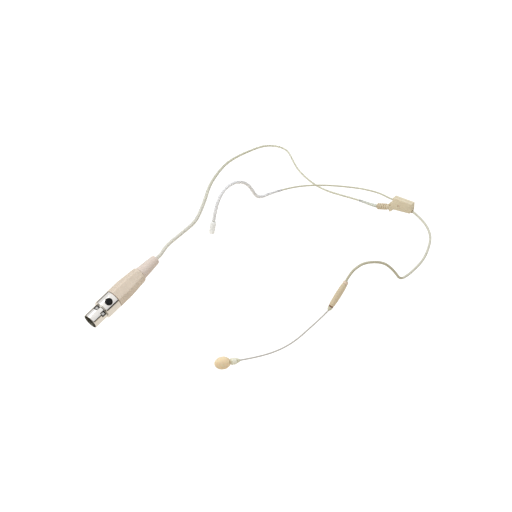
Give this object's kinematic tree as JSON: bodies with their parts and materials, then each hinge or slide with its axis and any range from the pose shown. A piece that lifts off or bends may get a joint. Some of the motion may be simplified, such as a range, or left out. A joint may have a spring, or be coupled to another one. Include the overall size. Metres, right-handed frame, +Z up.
{
  "type": "headset microphone",
  "caption": "Double ear-hook, behind-the-neck headset microphone with a sliding arm, a turning boom with a foam windscreen, and a latching plug on its cable.",
  "frame": {"origin": "on the nape block's inner face, between its two ends", "axes": "+X towards the wearer's left, -Y the way the wearer faces, +Z up"},
  "size_m": [0.1959, 0.224, 0.0544],
  "materials": {
    "beige_plastic": "satin moulded plastic",
    "beige_rubber": "matt moulded rubber",
    "light_beige_plastic": "satin moulded plastic",
    "light_beige_rubber": "matt moulded rubber",
    "coated_tube": "satin coating on a fine metal tube",
    "sprung_wire": "satin coated spring wire",
    "olive_sleeve": "smooth soft sleeve",
    "clear_sleeve": "translucent silicone",
    "clear_tip": "clear silicone",
    "clamp_plastic": "natural plastic",
    "cable_jacket": "smooth matt jacket",
    "lead_insulation": "smooth insulation",
    "foam": "open-cell foam",
    "capsule_metal": "olive coated metal",
    "chrome": "bright nickel plating",
    "steel": "plain steel",
    "brass": "turned brass",
    "black_rubber": "matt rubber",
    "brown_rubber": "matt rubber",
    "black_plastic": "satin moulded plastic"
  },
  "bodies": {
    "headset": {"yoke_inner_shell": "beige_plastic", "yoke_outer_shell": "beige_plastic", "yoke_screw": "steel", "yoke_pin": "steel", "slide_bush": "brass", "slide_friction_ring": "black_rubber", "left_tube_ferrule": "steel", "strain_relief": "beige_rubber", "cable_crimp": "steel", "left_arm_tube": "coated_tube", "microphone_lead": "lead_insulation", "left_ear_sleeve": "olive_sleeve", "holder_cap": "light_beige_plastic", "holder_shell": "beige_plastic", "holder_ring": "brown_rubber", "headset_cable": "cable_jacket", "cable_sleeve": "clear_tip"},
    "right_arm": {"right_arm_wire": "sprung_wire", "right_ear_sleeve": "clear_sleeve", "right_wire_stop": "steel", "right_ear_tip": "clear_tip"},
    "boom_collar": {"boom_collar": "light_beige_plastic"},
    "boom": {"boom_tube": "sprung_wire", "boom_stop": "steel", "capsule_boot": "beige_plastic", "capsule_ring": "light_beige_plastic", "capsule_housing": "capsule_metal", "microphone_cartridge": "steel", "capsule_grille": "steel"},
    "windscreen": {"windscreen": "foam"},
    "plug": {"plug_cable": "cable_jacket", "plug_shell": "chrome", "contact_insert": "black_plastic", "socket_contact_1": "brass", "socket_contact_2": "brass", "socket_contact_3": "brass", "socket_contact_4": "brass", "cable_clamp": "clamp_plastic"},
    "latch": {"latch_plate": "steel", "latch_button": "black_plastic"},
    "tail": {"plug_tail": "light_beige_rubber"},
    "handle": {"plug_handle": "light_beige_plastic"}
  },
  "joints": [
    {"name": "band_slide", "type": "slide", "parent": "headset", "child": "right_arm", "axis": [-0.9816, -0.1908, 0], "range_m": [0, 0.007]},
    {"name": "boom_turn", "type": "hinge", "parent": "headset", "child": "boom_collar", "pos_m": [0.03943, -0.1131, -0.00431], "axis": [-0.1408, -0.5648, -0.8131], "range_deg": [-30, 30]},
    {"name": "boom_slide", "type": "slide", "parent": "boom_collar", "child": "boom", "axis": [-0.1408, -0.5648, -0.8131], "range_m": [0, 0.008]},
    {"name": "windscreen_pull", "type": "slide", "parent": "boom", "child": "windscreen", "axis": [-0.3473, -0.9289, 0.1288], "range_m": [0, 0.012]},
    {"name": "cable_bend", "type": "hinge", "parent": "headset", "child": "plug", "pos_m": [-0.142, 0.005, -0.01], "axis": [0, 0, 1], "range_deg": [-14, 0]},
    {"name": "latch_press", "type": "slide", "parent": "plug", "child": "latch", "axis": [-0.56, 0.2338, -0.7949], "range_m": [0, 0.0006], "stiffness_N_per_m": 1500},
    {"name": "tail_back_off", "type": "slide", "parent": "plug", "child": "tail", "axis": [-0.0579, 0.946, 0.319], "range_m": [0, 0.003]},
    {"name": "handle_turn", "type": "hinge", "parent": "tail", "child": "handle", "pos_m": [-0.07254, -0.17046, -0.01597], "axis": [-0.0579, 0.946, 0.319], "range_deg": [0, 1080]}
  ],
  "couplings": [
    {"joint": "handle_turn", "follows": "tail_back_off", "rad_per_m": 6283.2}
  ]
}
